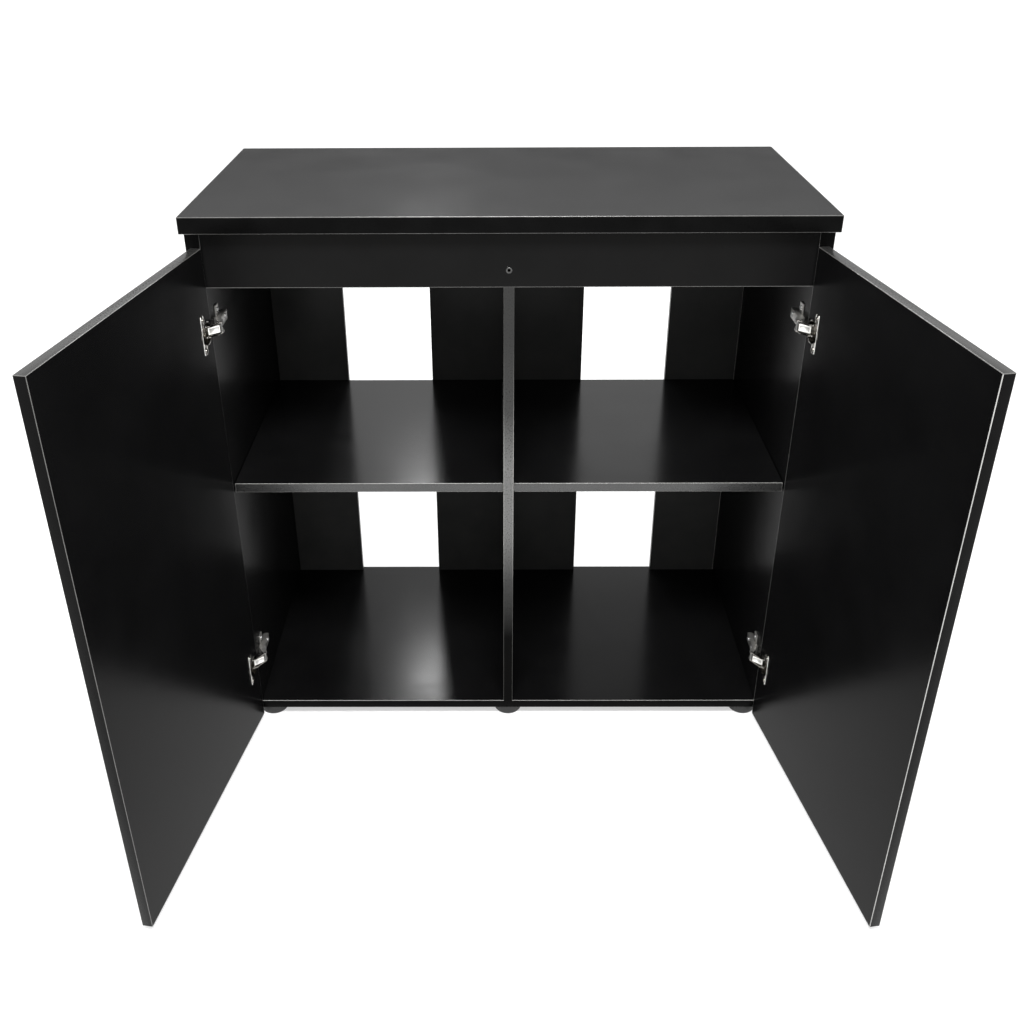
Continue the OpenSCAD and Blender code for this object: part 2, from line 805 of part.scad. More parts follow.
door("right");  // right_door
door_edge_band("right");  // right_door_edge_band
hinge_cups("right");  // right_hinge_cups
cup_screws("right");  // right_cup_screws
cup_pins("right");  // right_cup_pins
wide_links("right");  // right_wide_links
side_links("right");  // right_side_links
hinge_arms("right");  // right_hinge_arms
arm_pins("right");  // right_arm_pins
arm_screws("right");  // right_arm_screws
mounting_plates("right");  // right_mounting_plates
plate_screws("right");  // right_plate_screws
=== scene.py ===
import json
import math
import bpy
import bmesh
from mathutils import Matrix, Vector

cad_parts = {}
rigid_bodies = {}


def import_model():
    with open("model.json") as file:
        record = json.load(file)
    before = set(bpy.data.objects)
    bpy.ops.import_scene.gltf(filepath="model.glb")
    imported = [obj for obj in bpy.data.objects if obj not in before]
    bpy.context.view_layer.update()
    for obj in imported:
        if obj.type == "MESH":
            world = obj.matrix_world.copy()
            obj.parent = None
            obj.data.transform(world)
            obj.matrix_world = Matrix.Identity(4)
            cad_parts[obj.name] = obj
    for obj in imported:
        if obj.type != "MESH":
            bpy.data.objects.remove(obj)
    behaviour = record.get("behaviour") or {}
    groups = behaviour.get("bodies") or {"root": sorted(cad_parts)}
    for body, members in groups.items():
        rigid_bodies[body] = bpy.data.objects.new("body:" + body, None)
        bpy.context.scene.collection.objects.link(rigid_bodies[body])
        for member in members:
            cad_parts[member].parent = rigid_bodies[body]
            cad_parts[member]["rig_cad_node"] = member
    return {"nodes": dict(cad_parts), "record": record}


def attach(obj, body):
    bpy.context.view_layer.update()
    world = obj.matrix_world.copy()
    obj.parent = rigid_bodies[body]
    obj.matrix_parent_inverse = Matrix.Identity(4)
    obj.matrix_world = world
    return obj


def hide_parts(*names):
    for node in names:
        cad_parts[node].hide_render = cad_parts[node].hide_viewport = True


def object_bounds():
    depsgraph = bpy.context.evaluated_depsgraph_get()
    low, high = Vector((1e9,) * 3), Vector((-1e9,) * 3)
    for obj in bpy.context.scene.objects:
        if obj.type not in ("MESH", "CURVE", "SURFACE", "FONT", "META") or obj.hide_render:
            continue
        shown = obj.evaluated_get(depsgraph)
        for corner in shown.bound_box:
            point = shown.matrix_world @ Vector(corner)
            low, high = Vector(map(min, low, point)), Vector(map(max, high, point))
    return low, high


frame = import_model()
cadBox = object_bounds()
mm = 0.001
print("frame loaded:", len(frame["nodes"]), "nodes")


# small helpers for working by hand

# near: how far a point may lie from a plane and still count as on it
# facing: the least share of a face's normal along an axis that counts as looking straight along it
meshRules = {
    "near": 0.05 * mm,
    "facing": 0.9999,
    "weld": 0.004 * mm,
    "flatAngle": 0.4,
    "cornerAngle": 50,
    "squareAngle": 60,
    "smoothAngle": 35,
}


def deselectAll():
    if bpy.context.object and bpy.context.object.mode != "OBJECT":
        bpy.ops.object.mode_set(mode="OBJECT")
    bpy.ops.object.select_all(action="DESELECT")


def pickOnly(obj):
    deselectAll()
    obj.select_set(True)
    bpy.context.view_layer.objects.active = obj


def editMesh(obj):
    pickOnly(obj)
    bpy.ops.object.mode_set(mode="EDIT")
    bpy.ops.mesh.select_all(action="DESELECT")
    return bmesh.from_edit_mesh(obj.data)


def leaveEdit():
    bpy.ops.object.mode_set(mode="OBJECT")


def pickParts(mesh, parts, wanted, mode):
    # wanted is a test on a part; returns how many parts it selects
    bpy.context.tool_settings.mesh_select_mode = mode
    count = 0
    for part in parts:
        part.select_set(bool(wanted(part)))
        count += part.select
    mesh.select_flush_mode()
    return count


def pickVerts(mesh, wanted):
    return pickParts(mesh, mesh.verts, wanted, (True, False, False))


def pickEdges(mesh, wanted):
    return pickParts(mesh, mesh.edges, wanted, (False, True, False))


def pickFaces(mesh, wanted):
    return pickParts(mesh, mesh.faces, wanted, (False, False, True))


def isCorner(edge, degrees=meshRules["cornerAngle"]):
    return edge.is_manifold and edge.is_convex and edge.calc_face_angle() > math.radians(degrees)


def cornerAt(axis, value, degrees=meshRules["cornerAngle"]):
    # a test for the corner edges that lie at one value along an axis
    place = "xyz".index(axis)
    return lambda edge: isCorner(edge, degrees) and all(
        abs(vert.co[place] - value) < meshRules["near"] for vert in edge.verts)


def facing(axis, way):
    # a test for the faces that look straight along an axis, forwards (1) or backwards (-1)
    place = "xyz".index(axis)
    return lambda face: face.normal[place] * way > meshRules["facing"]


def smoothShade(obj):
    pickOnly(obj)
    bpy.ops.object.shade_smooth_by_angle(angle=math.radians(meshRules["smoothAngle"]))


def freeze(obj):
    pickOnly(obj)
    bpy.ops.object.transform_apply(location=True, rotation=True, scale=True)


def joinAll(parts, name):
    pickOnly(parts[0])
    for part in parts[1:]:
        part.select_set(True)
    if len(parts) > 1:
        bpy.ops.object.join()
    parts[0].name = name
    return parts[0]


def ownCopy(source, name):
    pickOnly(source)
    bpy.ops.object.duplicate(linked=False)
    copy = bpy.context.object
    copy.name = name
    return copy


def placedCopy(source, matrix, name):
    # a copy moved within its own mesh, with its faces turned back out if it was mirrored
    copy = ownCopy(source, name)
    copy.data.transform(matrix)
    if matrix.determinant() < 0:
        editMesh(copy)
        bpy.ops.mesh.select_all(action="SELECT")
        bpy.ops.mesh.flip_normals()
        leaveEdit()
    return copy


def removePiece(obj):
    pickOnly(obj)
    bpy.ops.object.delete()


def copyOfNode(node, name):
    # the node's own shape, welded and with its flat faces whole again
    piece = ownCopy(frame["nodes"][node], name)
    del piece["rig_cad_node"]
    piece.data.materials.clear()
    editMesh(piece)
    bpy.ops.mesh.select_all(action="SELECT")
    bpy.ops.mesh.remove_doubles(threshold=meshRules["weld"])
    bpy.ops.mesh.dissolve_limited(angle_limit=math.radians(meshRules["flatAngle"]))
    leaveEdit()
    return piece


def bevelPicked(width, segments, clamp=True, material=-1):
    # a material of -1 keeps the faces' own
    bpy.ops.mesh.bevel(offset=width, offset_type="OFFSET", segments=segments, profile=0.5,
                       affect="EDGES", clamp_overlap=clamp, material=material)


def addBlock(low, high, name):
    # a cube primitive between two corners
    deselectAll()
    middle = [(a + b) / 2 for a, b in zip(low, high)]
    bpy.ops.mesh.primitive_cube_add(size=1, location=middle)
    block = bpy.context.object
    block.name = name
    block.scale = [b - a for a, b in zip(low, high)]
    freeze(block)
    return block


def addRod(start, end, radius, name, corners):
    # a cylinder primitive from one point to another
    deselectAll()
    start, end = Vector(start), Vector(end)
    bpy.ops.mesh.primitive_cylinder_add(vertices=corners, radius=radius, depth=(end - start).length,
                                        location=(start + end) / 2,
                                        rotation=(end - start).to_track_quat("Z", "Y").to_euler())
    rod = bpy.context.object
    rod.name = name
    freeze(rod)
    return rod


def paint(piece, *materials):
    piece.data.materials.clear()
    for material in materials:
        piece.data.materials.append(material)
    return piece


def roundEdges(piece, wanted, width, segments, clamp=False):
    mesh = editMesh(piece)
    pickEdges(mesh, wanted)
    bevelPicked(width, segments, clamp)
    leaveEdit()


def sinkFace(piece, wanted, steps):
    # picks a flat face, then insets it and pushes it along a direction, step by step
    mesh = editMesh(piece)
    pickFaces(mesh, wanted)
    for inset, push in steps:
        bpy.ops.mesh.inset(thickness=inset, depth=0, use_even_offset=True)
        if push:
            bpy.ops.mesh.extrude_region_move(TRANSFORM_OT_translate={"value": push})
    leaveEdit()


def carve(piece, tool, operation="DIFFERENCE"):
    # uses up the tool
    pickOnly(piece)
    bpy.ops.object.modifier_add(type="BOOLEAN")
    modifier = piece.modifiers[-1]
    modifier.operation = operation
    modifier.object = tool
    modifier.solver = "EXACT"
    bpy.ops.object.modifier_apply(modifier=modifier.name)
    removePiece(tool)


# materials: each noise is given by its scale, detail and roughness, each bump by its strength and distance

def newMaterial(name):
    material = bpy.data.materials.new(name)
    material.use_nodes = True
    nodes = material.node_tree.nodes
    nodes.clear()
    output = nodes.new("ShaderNodeOutputMaterial")
    shader = nodes.new("ShaderNodeBsdfPrincipled")
    material.node_tree.links.new(shader.outputs["BSDF"], output.inputs["Surface"])
    return material, shader


def objectPoint(material, scale=(1, 1, 1)):
    nodes, links = material.node_tree.nodes, material.node_tree.links
    coordinates = nodes.new("ShaderNodeTexCoord")
    mapping = nodes.new("ShaderNodeMapping")
    mapping.inputs["Scale"].default_value = scale
    links.new(coordinates.outputs["Object"], mapping.inputs["Vector"])
    return mapping.outputs["Vector"]


def noiseValue(material, point, kind):
    nodes, links = material.node_tree.nodes, material.node_tree.links
    noise = nodes.new("ShaderNodeTexNoise")
    for key, value in zip(("Scale", "Detail", "Roughness"), kind):
        noise.inputs[key].default_value = value
    links.new(point, noise.inputs["Vector"])
    return noise.outputs["Fac"]


def spread(material, value, low, high, start=0.3, end=0.7):
    # maps a value to a range of numbers; most noise lies between the start and the end
    nodes, links = material.node_tree.nodes, material.node_tree.links
    rangeNode = nodes.new("ShaderNodeMapRange")
    for key, number in (("From Min", start), ("From Max", end), ("To Min", low), ("To Max", high)):
        rangeNode.inputs[key].default_value = number
    links.new(value, rangeNode.inputs["Value"])
    return rangeNode.outputs["Result"]


def setColour(material, shader, value, look):
    # the look's dark colour where the value is 0, its light one where it is 1
    nodes, links = material.node_tree.nodes, material.node_tree.links
    mix = nodes.new("ShaderNodeMix")
    mix.data_type = "RGBA"
    mix.inputs["A"].default_value = (*look["dark"], 1)
    mix.inputs["B"].default_value = (*look["light"], 1)
    links.new(value, mix.inputs["Factor"])
    links.new(mix.outputs["Result"], shader.inputs["Base Color"])


def setRoughness(material, shader, value, look):
    material.node_tree.links.new(spread(material, value, *look["roughness"]), shader.inputs["Roughness"])


def addBump(material, shader, value, kind, previous=None):
    nodes, links = material.node_tree.nodes, material.node_tree.links
    bump = nodes.new("ShaderNodeBump")
    bump.inputs["Strength"].default_value, bump.inputs["Distance"].default_value = kind
    links.new(value, bump.inputs["Height"])
    if previous:
        links.new(previous, bump.inputs["Normal"])
    links.new(bump.outputs["Normal"], shader.inputs["Normal"])
    return bump.outputs["Normal"]


def greyRamp(tree, value, shades):
    # a grey for each place along a value from 0 to 1
    ramp = tree.nodes.new("ShaderNodeValToRGB")
    stops = ramp.color_ramp.elements
    while len(stops) < len(shades):
        stops.new(0.5)
    for stop, (place, shade) in zip(stops, shades):
        stop.position = place
    for stop, (place, shade) in zip(stops, shades):
        stop.color = (shade, shade, shade, 1)
    tree.links.new(value, ramp.inputs["Fac"])
    return ramp.outputs["Color"]


melamineLook = {
    "dark": (0.0026, 0.0026, 0.0027),
    "light": (0.0036, 0.0036, 0.0037),
    "roughness": (0.165, 0.205),
    "specular": 0.09,
    "tint": (1.0, 1.0, 1.0),
    "cloud": (9, 4, 0.6),
    "streakStretch": (2.5, 70, 70),
    "streak": (1, 3, 0.6),
    "streakShare": (0.965, 1.035),
    "grain": (700, 3, 0.6),
    "grainBump": (0.02, 0.05 * mm),
    "fineGrain": (2170, 2, 0.5),
    "fineBump": (0.008, 0.03 * mm),
}
topLook = {**melamineLook, "roughness": (0.13, 0.165), "specular": 0.093}
railLook = {**melamineLook, "roughness": (0.20, 0.24), "specular": 0.085, "tint": (1.0, 0.985, 0.95)}
deepLook = {**melamineLook, "roughness": (0.21, 0.25), "specular": 0.032, "tint": (1.0, 0.975, 0.91),
            "streakStretch": (70, 2.5, 70)}
dullBackLook = {**melamineLook, "dark": (0.024, 0.024, 0.0235), "light": (0.034, 0.034, 0.0332),
                "roughness": (0.30, 0.36), "specular": 0.10}


def satinMelamine(name, look):
    # black pearl-finish board face: fine pebble grain, cloudy gloss and faint streaks along the board
    material, shader = newMaterial(name)
    links = material.node_tree.links
    point = objectPoint(material)
    cloud = noiseValue(material, point, look["cloud"])
    setColour(material, shader, spread(material, cloud, 0, 1), look)
    streak = noiseValue(material, objectPoint(material, look["streakStretch"]), look["streak"])
    both = material.node_tree.nodes.new("ShaderNodeMath")
    both.operation = "MULTIPLY"
    links.new(spread(material, cloud, *look["roughness"]), both.inputs[0])
    links.new(spread(material, streak, *look["streakShare"]), both.inputs[1])
    links.new(both.outputs["Value"], shader.inputs["Roughness"])
    shader.inputs["Specular IOR Level"].default_value = look["specular"]
    shader.inputs["Specular Tint"].default_value = (*look["tint"], 1)
    coarse = addBump(material, shader, noiseValue(material, point, look["grain"]), look["grainBump"])
    addBump(material, shader, noiseValue(material, point, look["fineGrain"]), look["fineBump"], coarse)
    return material


bandLook = {
    "dark": (0.0014, 0.0014, 0.0014),
    "light": (0.0022, 0.0022, 0.0022),
    "roughness": (0.26, 0.33),
    "specular": 0.035,
    "cloud": (25, 3, 0.5),
    "marks": (420, 3, 0.5),
    "bump": (0.03, 0.03 * mm),
}
doorBandLook = {**bandLook, "specular": 0.085}
frontBandLook = {**bandLook, "dark": (0.008, 0.008, 0.0078), "light": (0.012, 0.012, 0.0116),
                 "roughness": (0.25, 0.33), "specular": 0.95}
# arris finishes: grey colours on the black band, a painted highlight along the rounded arrises
paintedHighlightArrisLook = {**bandLook, "dark": (0.24, 0.237, 0.228), "light": (0.34, 0.336, 0.324),
             "roughness": (0.22, 0.34), "specular": 0.7, "bump": (0.05, 0.03 * mm)}
doorPaintedHighlightLook = {**paintedHighlightArrisLook, "dark": (0.055, 0.054, 0.052), "light": (0.085, 0.084, 0.080), "specular": 0.6}
# painted sheen at each height on the divider's band: colour and specular level as a share of their brightest,
# a painted reflection of the lit floor
dividerBandLook = {**frontBandLook, "dark": (0.004, 0.004, 0.0039), "light": (0.060, 0.060, 0.058),
                   "paintedSheen": [(-0.90, 0.0), (-0.76, 0.0), (-0.64, 0.30), (-0.54, 0.95), (-0.42, 0.95),
                             (-0.32, 0.30), (-0.20, 0.22)]}
# the divider's arris: a grey colour as a painted highlight, with the painted sheen by height
dividerPaintedHighlightLook = {**paintedHighlightArrisLook, "dark": (0.035, 0.035, 0.033), "light": (0.62, 0.615, 0.59),
                    "paintedSheen": [(-0.90, 0.04), (-0.66, 0.10), (-0.56, 0.62), (-0.40, 0.80), (-0.30, 0.22),
                              (-0.20, 0.04)]}


def edgeBandPlastic(name, look):
    # black band: smoother than the board, with fine scraper marks
    material, shader = newMaterial(name)
    point = objectPoint(material)
    if "paintedSheen" in look:
        # painted sheen: colour and specular level brighter at mid height and darker above and below, a
        # painted reflection
        tree = material.node_tree
        split = tree.nodes.new("ShaderNodeSeparateXYZ")
        tree.links.new(point, split.inputs["Vector"])
        low, high = look["paintedSheen"][0][0], look["paintedSheen"][-1][0]
        height = spread(material, split.outputs["Z"], 0, 1, low, high)
        shade = greyRamp(tree, height, [((z - low) / (high - low), paintedSheen) for z, paintedSheen in look["paintedSheen"]])
        tree.links.new(shade, shader.inputs["Specular IOR Level"])
    else:
        shade = spread(material, noiseValue(material, point, look["cloud"]), 0, 1)
        shader.inputs["Specular IOR Level"].default_value = look["specular"]
    setColour(material, shader, shade, look)
    marks = noiseValue(material, point, look["marks"])
    setRoughness(material, shader, marks, look)
    addBump(material, shader, marks, look["bump"])
    return material


nickelLook = {
    "dark": (0.27, 0.26, 0.24),
    "light": (0.38, 0.365, 0.34),
    "roughness": (0.10, 0.17),
    "metal": 1.0,
    "cloud": (260, 3, 0.6),
    "grainStretch": (900, 900, 120),
    "grain": (1, 3, 0.6),
    "bump": (0.05, 0.02 * mm),
}
armLook = {**nickelLook, "dark": (0.30, 0.295, 0.28), "light": (0.42, 0.41, 0.39), "roughness": (0.26, 0.36),
           "metal": 0.86, "grainStretch": (700, 700, 300)}
# pale plated steel with a diffuse share: partly the steel's own colour, partly a painted highlight
paintedHighlightSteelLook = {**nickelLook, "dark": (0.82, 0.81, 0.78), "light": (0.93, 0.92, 0.89),
             "roughness": (0.34, 0.44), "metal": 0.62, "grainStretch": (500, 500, 160)}
zincLook = {**nickelLook, "dark": (0.24, 0.245, 0.25), "light": (0.36, 0.36, 0.35),
            "roughness": (0.28, 0.44), "metal": 0.95, "grainStretch": (700, 700, 700)}
darkZincLook = {**zincLook, "dark": (0.06, 0.06, 0.06), "light": (0.12, 0.12, 0.117),
                "roughness": (0.22, 0.34)}


def platedSteel(name, look):
    # plated sheet steel: rolling grain and cloudy plating
    material, shader = newMaterial(name)
    grain = noiseValue(material, objectPoint(material, look["grainStretch"]), look["grain"])
    cloud = noiseValue(material, objectPoint(material), look["cloud"])
    setColour(material, shader, spread(material, cloud, 0, 1), look)
    setRoughness(material, shader, grain, look)
    shader.inputs["Metallic"].default_value = look["metal"]
    addBump(material, shader, grain, look["bump"])
    return material


footLook = {
    "dark": (0.004, 0.004, 0.004),
    "light": (0.010, 0.010, 0.010),
    "roughness": (0.38, 0.55),
    "cloud": (60, 3, 0.6),
    "grain": (1100, 3, 0.6),
    "bump": (0.25, 0.06 * mm),
}


def mouldedPlastic(name, look):
    # black moulded plastic: spark-eroded grain and cloudy dust
    material, shader = newMaterial(name)
    point = objectPoint(material)
    cloud = noiseValue(material, point, look["cloud"])
    setColour(material, shader, spread(material, cloud, 0, 1), look)
    setRoughness(material, shader, cloud, look)
    addBump(material, shader, noiseValue(material, point, look["grain"]), look["bump"])
    return material


beechLook = {
    "dark": (0.42, 0.27, 0.14),
    "light": (0.62, 0.44, 0.25),
    "roughness": (0.5, 0.7),
    "grainStretch": (260, 260, 30),
    "grain": (4, 4, 0.6),
    "bump": (0.3, 0.1 * mm),
}


def beechWood(name, look):
    # dowels: long grain with short dark flecks
    material, shader = newMaterial(name)
    grain = noiseValue(material, objectPoint(material, look["grainStretch"]), look["grain"])
    setColour(material, shader, spread(material, grain, 0, 1), look)
    setRoughness(material, shader, grain, look)
    addBump(material, shader, grain, look["bump"])
    return material


finishes = {
    "black_board": satinMelamine("blackMelamine", melamineLook),
    "black_band": edgeBandPlastic("blackEdgeBand", bandLook),
    "black_plastic": mouldedPlastic("footPlastic", footLook),
    "nickel_steel": platedSteel("nickelPlate", nickelLook),
    "zinc_steel": platedSteel("zincPlate", zincLook),
    "dowel_wood": beechWood("beechDowel", beechLook),
}
deepBoard = satinMelamine("deepMelamine", deepLook)
dullBack = satinMelamine("dullBackBoard", dullBackLook)
boardKinds = {
    "left_door": deepBoard,
    "right_door": deepBoard,
    "left_side_panel": deepBoard,
    "right_side_panel": deepBoard,
    "left_back_board": dullBack,
    "right_back_board": dullBack,
    "centre_back_board": dullBack,
    "top_panel": satinMelamine("topMelamine", topLook),
    "front_rail": satinMelamine("railMelamine", railLook),
}
nodeSlot = {part["node"]: part["material_slot"] for part in frame["record"]["subparts"]}


def ownFinish(node):
    return finishes[nodeSlot[node]]


for node, obj in frame["nodes"].items():
    paint(obj, boardKinds.get(node, ownFinish(node)))
paintedHighlightSteel = platedSteel("linkSteelPaintedHighlight", paintedHighlightSteelLook)
blackScrew = platedSteel("blackenedScrew", darkZincLook)
steelArm = platedSteel("hingeArmPlate", armLook)
# band finishes; the arris ones and the divider's carry painted highlight and painted sheen in their colour
bandFinish = {
    "board": finishes["black_band"],
    "front": edgeBandPlastic("glossierFrontBand", frontBandLook),
    "doorEdge": edgeBandPlastic("doorEdgeBand", doorBandLook),
    "divider": edgeBandPlastic("dividerBand", dividerBandLook),
    "dividerPaintedHighlightArris": edgeBandPlastic("dividerPaintedHighlightArris", dividerPaintedHighlightLook),
    "light": edgeBandPlastic("paintedHighlightArris", paintedHighlightArrisLook),
    "door": edgeBandPlastic("doorPaintedHighlightArris", doorPaintedHighlightLook),
}
print("materials made:", len(bpy.data.materials))


def nodeBody(node):
    for body, members in frame["record"]["behaviour"]["bodies"].items():
        if node in members:
            return body


def standFor(piece, node, *materials):
    # a finished piece takes a node's place; it keeps its own materials if none are given
    if materials:
        paint(piece, *materials)
    smoothShade(piece)
    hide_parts(node)
    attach(piece, nodeBody(node))


# edge bands, with their outer arrises scraped round and coloured lighter than the band as a painted highlight

# each round is a width and its number of segments
# each spot is a part of the faces or arrises that has another finish: the divider's faces and arris take the
# painted sheen, the bottom panel's arris the grey painted highlight, and the doors' up-facing band faces the
# divider's finish as a painted highlight on their tops
bandPlan = {
    "top_edge_band": {"piece": "topEdgeBand", "round": (0.9 * mm, 4), "face": "board", "arris": "door"},
    "body_edge_bands": {
        "piece": "bodyEdgeBands", "round": (0.85 * mm, 3), "face": "board", "arris": "door",
        "frontOnly": True,
        "spots": [("face", "divider", "divider"), ("arris", "divider", "dividerPaintedHighlightArris"),
                  ("arris", "bottom", "light")]},
    "shelf_edge_bands": {
        "piece": "shelfEdgeBands", "round": (0.85 * mm, 3), "face": "front", "arris": "light"},
    "left_door_edge_band": {
        "piece": "leftDoorEdgeBand", "round": (0.7 * mm, 3), "face": "doorEdge", "arris": "door",
        "spots": [("face", "upperSide", "divider")]},
    "right_door_edge_band": {
        "piece": "rightDoorEdgeBand", "round": (0.85 * mm, 3), "face": "doorEdge", "arris": "light",
        "spots": [("face", "upperSide", "divider"), ("arris", "doorTop", "door")]},
}
bandParts = {"face": 0, "arris": 1}
bandSpots = {
    "divider": lambda face: abs(face.center.x) < 10 * mm and face.center.z < -115 * mm,
    "bottom": lambda face: face.center.z < -900 * mm,
    # up-facing door band faces: lighter with the divider's finish, a painted highlight
    "upperSide": lambda face: face.normal.z > 0.9,
    "doorTop": lambda face: face.center.z > -51 * mm,
}


def looseParts(mesh):
    # groups of faces that hang together
    left, groups = set(mesh.faces), []
    while left:
        todo, group = [left.pop()], []
        while todo:
            face = todo.pop()
            group.append(face)
            for edge in face.edges:
                for other in edge.link_faces:
                    if other in left:
                        left.remove(other)
                        todo.append(other)
        groups.append(group)
    return groups


def outwardFaces(mesh):
    # for each face, whether it faces away from the middle of its own loose part
    outward = {}
    for group in looseParts(mesh):
        corners = {vert for face in group for vert in face.verts}
        middle = sum((vert.co for vert in corners), Vector()) / len(corners)
        for face in group:
            outward[face.index] = face.normal.dot(face.calc_center_median() - middle) > 0
    return outward


def makeBand(node, plan):
    piece = copyOfNode(node, plan["piece"])
    piece.data.materials.append(bandFinish[plan["face"]])
    piece.data.materials.append(bandFinish[plan["arris"]])
    mesh = editMesh(piece)
    outward = outwardFaces(mesh)

    def outerArris(edge):
        square = isCorner(edge, meshRules["squareAngle"])
        return square and all(outward[face.index] for face in edge.link_faces)

    front = min(vert.co.y for vert in mesh.verts)
    wanted = cornerAt("y", front, meshRules["squareAngle"]) if "frontOnly" in plan else outerArris
    count = pickEdges(mesh, wanted)
    bevelPicked(*plan["round"], material=bandParts["arris"])
    leaveEdit()
    for part, spot, finish in plan.get("spots", []):
        piece.data.materials.append(bandFinish[finish])
        for face in piece.data.polygons:
            if face.material_index == bandParts[part] and bandSpots[spot](face):
                face.material_index = len(piece.data.materials) - 1
    standFor(piece, node)
    print("band", piece.name, count, "arrises rounded")


for node, plan in bandPlan.items():
    makeBand(node, plan)


# back boards: the long front arrises eased, on the right board only the outer one, which takes the grey arris
# colour as a painted highlight

backPlan = {
    "left_back_board": {"piece": "leftBackBoard", "round": (0.5 * mm, 2), "paintedHighlightX": None},
    "centre_back_board": {"piece": "centreBackBoard", "round": (0.5 * mm, 2), "paintedHighlightX": None},
    "right_back_board": {"piece": "rightBackBoard", "round": (1.1 * mm, 2), "paintedHighlightX": 453 * mm},
}
longArris = 500 * mm


def makeBackBoard(node, plan):
    board = paint(copyOfNode(node, plan["piece"]), boardKinds[node], bandFinish["light"])
    mesh = editMesh(board)
    front = min(vert.co.y for vert in mesh.verts)
    atFront = cornerAt("y", front, meshRules["squareAngle"])
    paintedHighlightX = plan["paintedHighlightX"]

    def wanted(edge):
        chosenArris = paintedHighlightX is None or abs(edge.verts[0].co.x - paintedHighlightX) < meshRules["near"]
        return atFront(edge) and chosenArris and edge.calc_length() > longArris

    pickEdges(mesh, wanted)
    bevelPicked(*plan["round"], material=-1 if paintedHighlightX is None else 1)
    leaveEdit()
    standFor(board, node)


for node, plan in backPlan.items():
    makeBackBoard(node, plan)
print("back boards made")


# hinges: drawn at the hinge datum (x to the cabinet's middle, y to the rear, z up), then set at each place

hingePlan = {
    "datumX": 453 * mm,
    "frontY": -212.5 * mm,
    "heights": {"lower": -804.5 * mm, "upper": -174.5 * mm},
    "openAngle": 99.2,
    "cupPinClosed": (-14.2 * mm, -4.0 * mm, 0),
    "cupPinOpen": (-0.941405 * mm, -13.286332 * mm, 0),
}


def hingePlace(side, height):
    place = Matrix.Translation((-hingePlan["datumX"], hingePlan["frontY"], hingePlan["heights"][height]))
    if side == "right":
        place = Matrix.Diagonal((-1, 1, 1, 1)) @ place
    return place


def doorSwing():
    # takes what is drawn on a closed door to the doors' rest
    turn = Matrix.Rotation(math.radians(-hingePlan["openAngle"]), 4, "Z")
    return (Matrix.Translation(hingePlan["cupPinOpen"]) @ turn
            @ Matrix.Translation([-c for c in hingePlan["cupPinClosed"]]))


def setOnHinges(pattern, side, name, swing=Matrix.Identity(4)):
    copies = [placedCopy(pattern, hingePlace(side, height) @ swing, name + height)
              for height in ("lower", "upper")]
    return joinAll(copies, name)


# start and high: where a detail begins and ends above the door's face; over: its end above the rim's plate
cupPlan = {
    "x": -1.0 * mm,
    "radius": 17.5 * mm,
    "wall": 0.7 * mm,
    "bottomY": -13.5 * mm,
    "bottomRound": (1.2 * mm, 4),
    "doorFaceY": -2.0 * mm,
    "plate": 0.8 * mm,
    "potOver": 0.06 * mm,
    "floorRings": [(3 * mm, -0.35 * mm), (1.2 * mm, 0.35 * mm), (6 * mm, 0.8 * mm)],
    "corners": 72,
    "smallCorners": 24,
    "rimRadius": 19.0 * mm,
    "rimRound": (0.22 * mm, 2),
    "rimShortest": 0.9 * mm,
    "boreRadius": 17.08 * mm,
    "boreY": (-5 * mm, 2 * mm),
    "wing": {"x": 8.5 * mm, "halfWidth": 6.0 * mm, "halfLength": 32.25 * mm, "corners": 32},
    "screw": {"z": 24 * mm, "radius": 2.3 * mm},
    "ridge": {"halfLength": 12 * mm, "thick": 0.9 * mm, "start": 0.1 * mm, "over": 0.25 * mm,
              "round": (0.2 * mm, 2)},
    "lip": {"z": (10.5 * mm, 29.05 * mm), "thick": 0.9 * mm, "start": 0.2 * mm, "high": 1.35 * mm,
            "round": (0.4 * mm, 3)},
    "stud": {"z": 28.2 * mm, "inset": 1.5 * mm, "radius": 1.4 * mm, "round": (0.35 * mm, 3)},
    "rib": {"z": (13.5 * mm, 18.5 * mm), "halfWidth": 1.6 * mm, "start": 0.2 * mm, "over": 0.45 * mm,
            "round": (0.6 * mm, 3)},
    "lug": {"x": (-16.2 * mm, -7.75 * mm), "y": (-13.15 * mm, -2.15 * mm), "z": (6.5 * mm, 7.7 * mm),
            "topRound": (1.8 * mm, 6), "round": (0.15 * mm, 2)},
}


def rodAlongY(x, ys, z, radius, name, corners):
    return addRod((x, ys[0], z), (x, ys[1], z), radius, name, corners)


def roundedBlock(low, high, plan, name, material):
    block = addBlock(low, high, name)
    roundEdges(block, isCorner, *plan["round"], clamp=True)
    return paint(block, material)


def makePot(plan, top):
    pot = rodAlongY(plan["x"], (plan["bottomY"], top + plan["potOver"]), 0, plan["radius"], "cupPot",
                    plan["corners"])
    rings = [(plan["wall"], plan["bottomY"] + plan["wall"] - top)] + plan["floorRings"]
    sinkFace(pot, facing("y", 1), [(inset, (0, push, 0)) for inset, push in rings])
    roundEdges(pot, cornerAt("y", plan["bottomY"]), *plan["bottomRound"])
    return paint(pot, finishes["nickel_steel"])


def makeWing(plan, ys):
    # a cylinder whose halves are drawn apart into a long plate with round ends
    wing = rodAlongY(plan["x"], ys, 0, plan["halfWidth"], "cupWing", plan["corners"])
    mesh = editMesh(wing)
    for way in (-1, 1):
        pickVerts(mesh, lambda vert: vert.co.z * way > meshRules["near"])
        bpy.ops.transform.translate(value=(0, 0, way * (plan["halfLength"] - plan["halfWidth"])))
    leaveEdit()
    return wing


